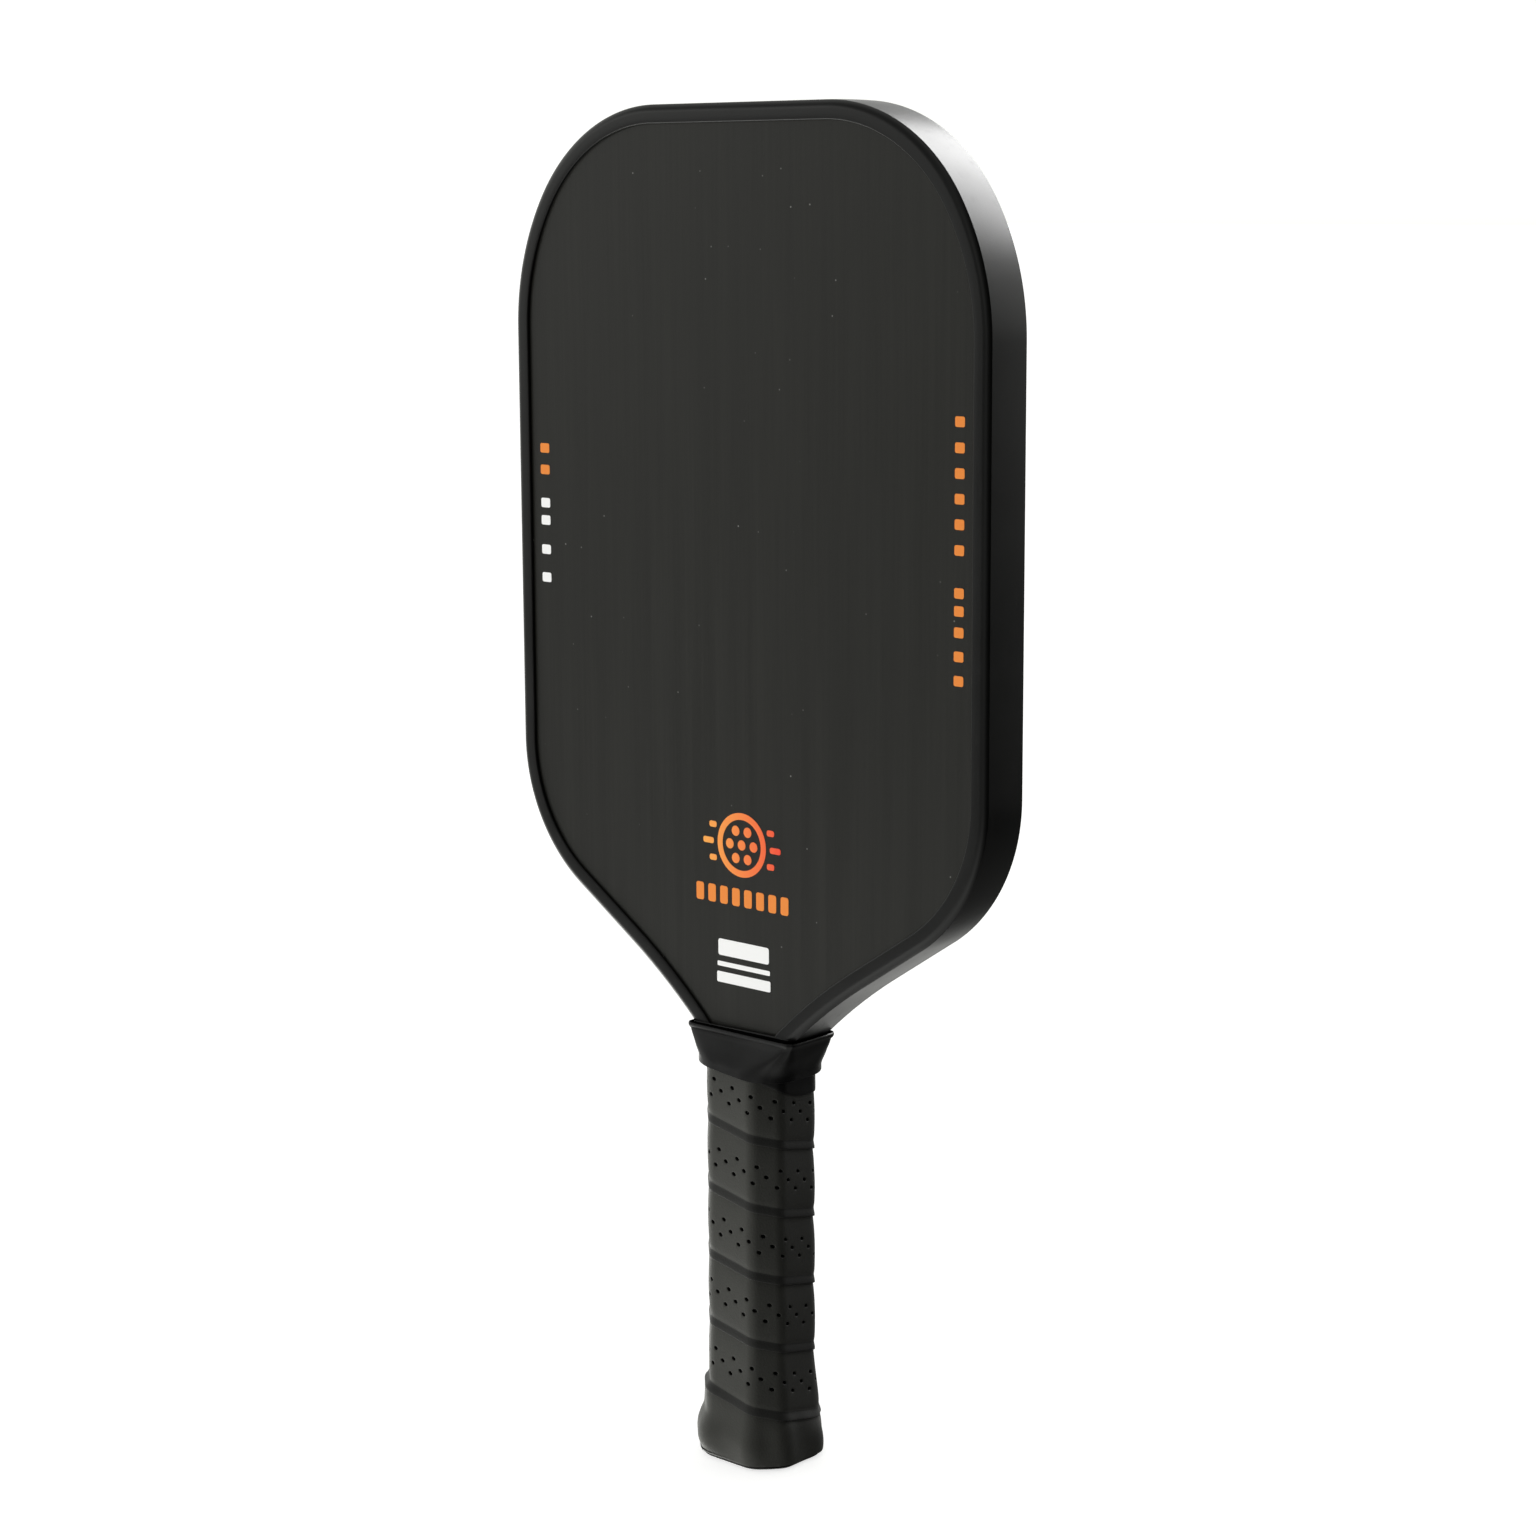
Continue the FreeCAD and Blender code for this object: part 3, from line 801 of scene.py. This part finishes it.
def collar_point(distance, climb, outward, rise=0.0):
    """Point of the collar: climb runs from 0 at its foot to 1 at its rim."""
    growth = COLLAR_BOTTOM_GROWTH
    foot = octagon(GRIP_HALF_X + growth, GRIP_HALF_Y + growth,
                   GRIP_LEG_X + growth * LEG_GROWTH, GRIP_LEG_Y + growth * LEG_GROWTH)
    rim = octagon(COLLAR_TOP_HALF_X, COLLAR_TOP_HALF_Y, COLLAR_TOP_LEG, COLLAR_TOP_LEG)
    spread = along_table(COLLAR_SPREAD, climb)
    corners = [(a[0] + (b[0] - a[0]) * spread, a[1] + (b[1] - a[1]) * spread)
               for a, b in zip(foot, rim)]
    reach = COLLAR_FOOT_REACH + (COLLAR_RIM_REACH - COLLAR_FOOT_REACH) * spread
    point, normal = around(corners, distance, reach)
    low = collar_low_z(distance)
    stand_off = FOOT_STAND_OFF * normal.x ** 2 + LEFT_STAND_OFF * left_share(distance)
    point = point + normal * (outward + stand_off * (1 - climb))
    return (point.x, point.y, low + (COLLAR_HIGH.z - low) * climb + rise)


def on_front_or_rear(distance):
    """1 across the front and rear of the collar, fading to 0 at its narrow sides."""
    _, normal = around(GRIP_CORNERS, distance)
    return smooth_step(0.35, 0.75, abs(normal.y))


def grip_collar():
    """Rubber band from the grip to the throat, with a rolled rim and an inner ridge."""
    points = []
    for i in range(COLLAR_STEPS):
        distance = GIRTH * i / COLLAR_STEPS
        for climb, outward, rise in COLLAR_FOOT:
            points.append(collar_point(distance, climb, outward, rise))
        for step in range(1, COLLAR_ROWS + 1):
            climb = COLLAR_BODY_START + COLLAR_BODY_SPAN * step / COLLAR_ROWS
            fold = noise.noise(Vector((distance * 0.16, climb * 3.0, 5.0)))
            outward = COLLAR_FOLD * fold * math.sin(math.pi * climb)
            points.append(collar_point(distance, climb, outward))
        for outward, rise in COLLAR_RIM:
            points.append(collar_point(distance, 1.0, outward, rise))
        height = RIDGE_HEIGHT * on_front_or_rear(distance) * (1 - RIDGE_LEFT_LOSS * left_share(distance))
        for outward, share in COLLAR_RIDGE:
            rise = share * height if share > 0 else share - RIDGE_SINK
            points.append(collar_point(distance, 1.0, outward, rise))
    above_foot = len(COLLAR_FOOT) + COLLAR_ROWS
    rows = above_foot + len(COLLAR_RIM) + len(COLLAR_RIDGE)
    faces = quad_faces(COLLAR_STEPS, rows, True)
    piece = make_piece("rubber_collar", points, faces, COLLAR_RUBBER, "grip_collar",
                       sharp=50)
    # The faces from the back of the rim to the foot of the ridge get the near-black groove rubber as
    # painted shade.
    piece.data.materials.append(GROOVE)
    groove_start = above_foot + len(COLLAR_RIM) - GROOVE_RIM_ROWS
    for number, polygon in enumerate(piece.data.polygons):
        if groove_start <= number % (rows - 1) < groove_start + GROOVE_ROWS:
            polygon.material_index = 1
    return piece


# ------------------------------------------------------------------------ butt cap

BASE_INSET = -4.2
# Rim of the cap as (height, stand-off from the tape's skin) pairs, then its flat base.
CAP_RINGS = [
    (6.0, -1.75), (1.9, -1.35), (1.2, -0.9), (0.55, -0.6), (0.16, -0.95), (0.0, -1.6), (0.0, BASE_INSET),
]


def butt_cap():
    """Moulded cap: the rim that shows under the tape, the flat base and its recess."""
    badge_low, badge_high = node_box("butt_end_badge")
    radius = badge_high.x
    floor_z = badge_low.z + 0.3
    recess = [(radius + 0.5, 0.0), (radius + 0.12, 0.12), (radius, 0.4), (radius, floor_z),
              (radius - 1.0, floor_z)]
    points = []
    for i in range(ROUND_STEPS):
        distance = GIRTH * i / ROUND_STEPS
        for z, height in CAP_RINGS:
            points.append(grip_point(distance, z, height))
        x, y, _ = grip_point(distance, 0.0, BASE_INSET)
        angle = math.atan2(y, x)
        for reach, z in recess:
            points.append((reach * math.cos(angle), reach * math.sin(angle), z))
    faces = quad_faces(ROUND_STEPS, len(CAP_RINGS) + len(recess), True)
    return make_piece("butt_cap_shell", points, [f[::-1] for f in faces], CAP_PLASTIC,
                      "butt_cap", sharp=40)


def butt_badge():
    """Blank badge: a shallow domed disc with a raised ring, and no mark."""
    low, high = node_box("butt_end_badge")
    radius = high.x - 0.15
    steps = 96
    profile = [(radius, high.z), (radius, low.z + 0.25), (radius - 0.15, low.z + 0.08),
               (radius - 0.6, low.z), (radius - 1.1, low.z), (radius - 1.3, low.z + 0.22),
               (radius * 0.6, low.z + 0.15), (radius * 0.3, low.z + 0.08), (0.02, low.z + 0.05)]
    points = []
    for i in range(steps):
        angle = 2 * math.pi * i / steps
        points.extend((r * math.cos(angle), r * math.sin(angle), z) for r, z in profile)
    faces = [f[::-1] for f in quad_faces(steps, len(profile), True)]
    return make_piece("butt_badge_disc", points, faces, BADGE, "butt_end_badge")


# --------------------------------------------------------------------------- print

INK_LIFT = 0.06
SIDE_DASHES_RIGHT = [329.5, 322.2, 315.0, 307.8, 300.6, 293.3, 281.1, 276.0, 269.9, 263.0, 256.0]
SIDE_DASHES_LEFT = [313.8, 307.0]
SIDE_WHITE_LEFT = [296.5, 291.0, 281.7, 272.8]
RIGHT_PRINT_X = 84.2
LEFT_PRINT_X = -83.5
# Bars as (width, height, corner radius).
RIGHT_DASH = (3.5, 3.0, 0.6)
LEFT_DASH = (4.0, 3.0, 0.6)
BALL_Z = 197.0
BALL_OUTER = 10.0
BALL_INNER = 7.9
BALL_STEPS = 64
SPOT_RADIUS = 1.6
SPOT_CIRCLE = 4.9
SPOT_STEPS = 24
RAY_START = 11.6
RAYS = [(-5.2, 3.0), (0.0, 4.4), (5.2, 3.0)]
ROW_COUNT = 8
ROW_START_X = -17.5
ROW_STEP = 5.0
ROW_Z = 180.5
ROW_BAR = (3.2, 5.6, 0.8)
THROAT_X = 0.5
# The bars at the throat as (height, width, thickness, corner radius).
THROAT_BARS = [(163.9, 21.0, 5.2, 0.8), (158.6, 21.8, 1.5, 0.4), (154.4, 22.2, 3.4, 0.5)]


def rounded_bar(x, z, width, height, radius):
    """Outline of an upright bar with round corners."""
    radius = min(radius, width / 2, height / 2)
    outline = []
    for corner_x, corner_z, start in ((1, 1, 0), (-1, 1, 90), (-1, -1, 180), (1, -1, 270)):
        for step in range(5):
            angle = math.radians(start + 22.5 * step)
            outline.append((x + corner_x * (width / 2 - radius) + radius * math.cos(angle),
                            z + corner_z * (height / 2 - radius) + radius * math.sin(angle)))
    return outline


def print_on_faces(name, outlines, material):
    """Thin ink film with the given outlines on both faces, each read from its own side."""
    for side, label in ((-1, "front"), (1, "rear")):
        points, faces = [], []
        y = side * (FACE_Y + INK_LIFT)
        for outline in outlines:
            base = len(points)
            points.extend((-side * x, y, z) for x, z in outline)
            points.extend((-side * x, side * FACE_Y, z) for x, z in outline)
            count = len(outline)
            faces.append(tuple(range(base, base + count)))
            for i in range(count):
                j = (i + 1) % count
                faces.append((base + j, base + i, base + count + i, base + count + j))
        make_piece(f"{label}_{name}", points, faces, material, sharp=30)


def disc(x, z, radius, steps):
    """Outline of a round spot."""
    angles = [2 * math.pi * k / steps for k in range(steps)]
    return [(x + radius * math.cos(a), z + radius * math.sin(a)) for a in angles]


def ball_mark():
    """Plain ball with round holes between short bars, as the large mark."""
    outer = disc(0.0, BALL_Z, BALL_OUTER, BALL_STEPS)
    inner = disc(0.0, BALL_Z, BALL_INNER, BALL_STEPS)
    outlines = []
    for start in range(BALL_STEPS):
        after = (start + 1) % BALL_STEPS
        outlines.append([outer[start], outer[after], inner[after], inner[start]])
    outlines.append(disc(0.0, BALL_Z, SPOT_RADIUS, SPOT_STEPS))
    for spot_x, spot_z in disc(0.0, BALL_Z, SPOT_CIRCLE, 6):
        outlines.append(disc(spot_x, spot_z, SPOT_RADIUS, SPOT_STEPS))
    for climb, width in RAYS:
        for side in (-1, 1):
            start = math.sqrt(RAY_START ** 2 - climb ** 2)
            outlines.append(rounded_bar(side * (start + width / 2), BALL_Z + climb, width, 1.9, 0.7))
    return outlines


def print_marks():
    """Ball mark, row of bars, side dashes and throat bars, on both faces."""
    print_on_faces("ball_mark", ball_mark(), SUNSET_INK)
    row = [rounded_bar(ROW_START_X + ROW_STEP * k, ROW_Z, *ROW_BAR) for k in range(ROW_COUNT)]
    print_on_faces("orange_row", row, ORANGE_INK)
    sides = [rounded_bar(RIGHT_PRINT_X, z, *RIGHT_DASH) for z in SIDE_DASHES_RIGHT]
    sides += [rounded_bar(LEFT_PRINT_X, z, *LEFT_DASH) for z in SIDE_DASHES_LEFT]
    print_on_faces("orange_dashes", sides, ORANGE_INK)
    white = [rounded_bar(LEFT_PRINT_X, z, *LEFT_DASH) for z in SIDE_WHITE_LEFT]
    white += [rounded_bar(THROAT_X, *bar) for bar in THROAT_BARS]
    print_on_faces("white_bars", white, WHITE_INK)


# ------------------------------------------------------------------ stage and light

FLOOR_GLOW = 0.72
FLOOR_REACH = 30.0


def white_floor():
    """Wide pale light table with a faint grain, which fades into the pale surroundings."""
    material, tree, shader, place = new_material("pale_floor")
    tone = noise_at(tree, place, 3.0, 2.0, 0.5)
    tree.links.new(ramp(tree, tone, [(0.3, (0.93, 0.93, 0.925)), (0.7, (0.95, 0.95, 0.945))]),
                   shader.inputs["Base Color"])
    shader.inputs["Roughness"].default_value = 0.9
    shader.inputs["Specular IOR Level"].default_value = 0.1
    shader.inputs["Emission Color"].default_value = (1.0, 1.0, 1.0, 1.0)
    shader.inputs["Emission Strength"].default_value = FLOOR_GLOW
    mesh = bpy.data.meshes.new("floor")
    signs = ((-1, -1), (1, -1), (1, 1), (-1, 1))
    corners = [(x * FLOOR_REACH, y * FLOOR_REACH, 0.0) for x, y in signs]
    mesh.from_pydata(corners, [], [(0, 1, 2, 3)])
    mesh.materials.append(material)
    floor = bpy.data.objects.new("floor", mesh)
    bpy.context.scene.collection.objects.link(floor)
    floor.visible_glossy = False
    floor.visible_diffuse = False
    floor.visible_shadow = False


def facing(tree, place, direction, inner, outer):
    """1 within inner degrees of a direction, fading to 0 at outer degrees."""
    dot = tree.nodes.new("ShaderNodeVectorMath")
    dot.operation = "DOT_PRODUCT"
    dot.inputs[1].default_value = Vector(direction).normalized()
    tree.links.new(place, dot.inputs[0])
    fade = tree.nodes.new("ShaderNodeMapRange")
    fade.interpolation_type = "SMOOTHSTEP"
    fade.inputs["From Min"].default_value = math.cos(math.radians(outer))
    fade.inputs["From Max"].default_value = math.cos(math.radians(inner))
    tree.links.new(dot.outputs["Value"], fade.inputs["Value"])
    return fade.outputs["Result"]


# Zones of the studio: direction, full and fading angle in degrees, and share or amount of light.
DIM_SIDES = [
    ((0.88, -0.45, 0.05), 26.0, 60.0, 0.92),
    ((0.95, 0.20, -0.25), 22.0, 52.0, 0.93),
    ((1.00, -0.10, 0.50), 15.0, 60.0, 0.70),
    ((-0.40, -0.80, 0.55), 12.0, 46.0, 0.70),
    ((0.35, 0.62, -0.65), 32.0, 46.0, 0.90),
    ((0.90, -0.10, -0.55), 10.0, 50.0, 0.60),
    ((-0.62, -0.74, -0.13), 5.0, 20.0, 0.95),
    ((-0.20, -0.97, -0.15), 12.0, 34.0, 0.75),
]
SOFT_BOXES = [
    ((-0.70, -0.68, 0.17), 3.0, 18.0, 1.00),
    ((-0.56, -0.62, -0.55), 5.0, 20.0, 0.45),
    ((-0.66, 0.15, -0.74), 10.0, 32.0, 3.40),
    ((-0.88, 0.42, -0.17), 8.0, 24.0, 1.30),
]
# Light by height, from straight down at 0 to straight up at 1.
SKY = [(0.0, 0.6), (0.12, 0.9), (0.22, 1.15), (0.32, 0.85), (0.41, 0.45), (0.47, 0.45), (0.497, 1.06),
       (0.62, 0.95), (0.75, 0.60), (1.0, 0.60)]


def soft_surroundings():
    """White studio with soft boxes, a dim side for the photographer and a pale table below."""
    world = bpy.data.worlds.new("studio")
    bpy.context.scene.world = world
    world.use_nodes = True
    tree = world.node_tree
    background = tree.nodes["Background"]
    place = tree.nodes.new("ShaderNodeTexCoord").outputs["Generated"]
    split = tree.nodes.new("ShaderNodeSeparateXYZ")
    tree.links.new(place, split.inputs["Vector"])
    height = math_node(tree, "MULTIPLY_ADD", split.outputs["Z"], 0.5)
    height.node.inputs[2].default_value = 0.5
    light = ramp(tree, height, SKY)
    for direction, inner, outer, amount in DIM_SIDES:
        dimmed = math_node(tree, "MULTIPLY", facing(tree, place, direction, inner, outer), -amount)
        light = math_node(tree, "MULTIPLY", light, math_node(tree, "ADD", dimmed, 1.0))
    for direction, inner, outer, amount in SOFT_BOXES:
        glow = math_node(tree, "MULTIPLY", facing(tree, place, direction, inner, outer), amount)
        light = math_node(tree, "ADD", light, glow)
    tint = tree.nodes.new("ShaderNodeVectorMath")
    tint.operation = "MULTIPLY"
    tint.inputs[1].default_value = (1.0, 1.006, 0.972)
    tree.links.new(light, tint.inputs[0])
    tree.links.new(tint.outputs["Vector"], background.inputs["Color"])
    background.inputs["Strength"].default_value = 1.0


LIGHT_TARGET = (0.0, 0.0, 0.25)
CAMERA_PLACE = (0.64143, -0.70298, 0.39318)
CAMERA_TARGET = (0.00354, 0.0, 0.22028)
CAMERA_ROLL = -0.264
CAMERA_LENS = 74.2


def area_light(name, direction, distance, size, radiance):
    """Flat lamp that looks at the paddle's middle from a direction."""
    way = Vector(direction).normalized()
    light = bpy.data.lights.new(name, "AREA")
    light.shape = "RECTANGLE"
    light.size, light.size_y = size
    light.energy = radiance * math.pi * size[0] * size[1]
    lamp = bpy.data.objects.new(name, light)
    lamp.location = Vector(LIGHT_TARGET) + way * distance
    lamp.rotation_euler = (-way).to_track_quat("-Z", "Y").to_euler()
    bpy.context.scene.collection.objects.link(lamp)
    return lamp


def lamps():
    """A soft box that shows as the bright sheen up and behind, and a soft fill from the left."""
    sheen = area_light("sheen_box", (0.10, 0.75, 0.66), 2.0, (1.55, 1.25), 9.0)
    sheen.visible_diffuse = False
    sheen.visible_camera = False
    fill = area_light("fill_box", (-0.52, -0.78, -0.34), 1.6, (1.2, 0.6), 7.8)
    fill.visible_glossy = False
    fill.visible_camera = False


def camera():
    """Camera at the viewing angle of a low three-quarter product shot."""
    lens = bpy.data.cameras.new("camera")
    lens.lens = CAMERA_LENS
    lens.sensor_width = 36.0
    lens.dof.use_dof = False
    eye = bpy.data.objects.new("camera", lens)
    place = Vector(CAMERA_PLACE)
    eye.location = place
    aim = (Vector(CAMERA_TARGET) - place).to_track_quat("-Z", "Y").to_matrix()
    roll = math.radians(CAMERA_ROLL)
    right = aim.col[0] * math.cos(roll) + aim.col[1] * math.sin(roll)
    up = aim.col[1] * math.cos(roll) - aim.col[0] * math.sin(roll)
    aim.col[0], aim.col[1] = right, up
    eye.rotation_euler = aim.to_euler()
    bpy.context.scene.collection.objects.link(eye)
    bpy.context.scene.camera = eye


edge_guard()
grip_tape()
finishing_tape()
grip_collar()
butt_cap()
butt_badge()
print_marks()
white_floor()
soft_surroundings()
lamps()
camera()
bpy.context.scene.view_settings.view_transform = "Standard"
bpy.context.scene.view_settings.look = "None"
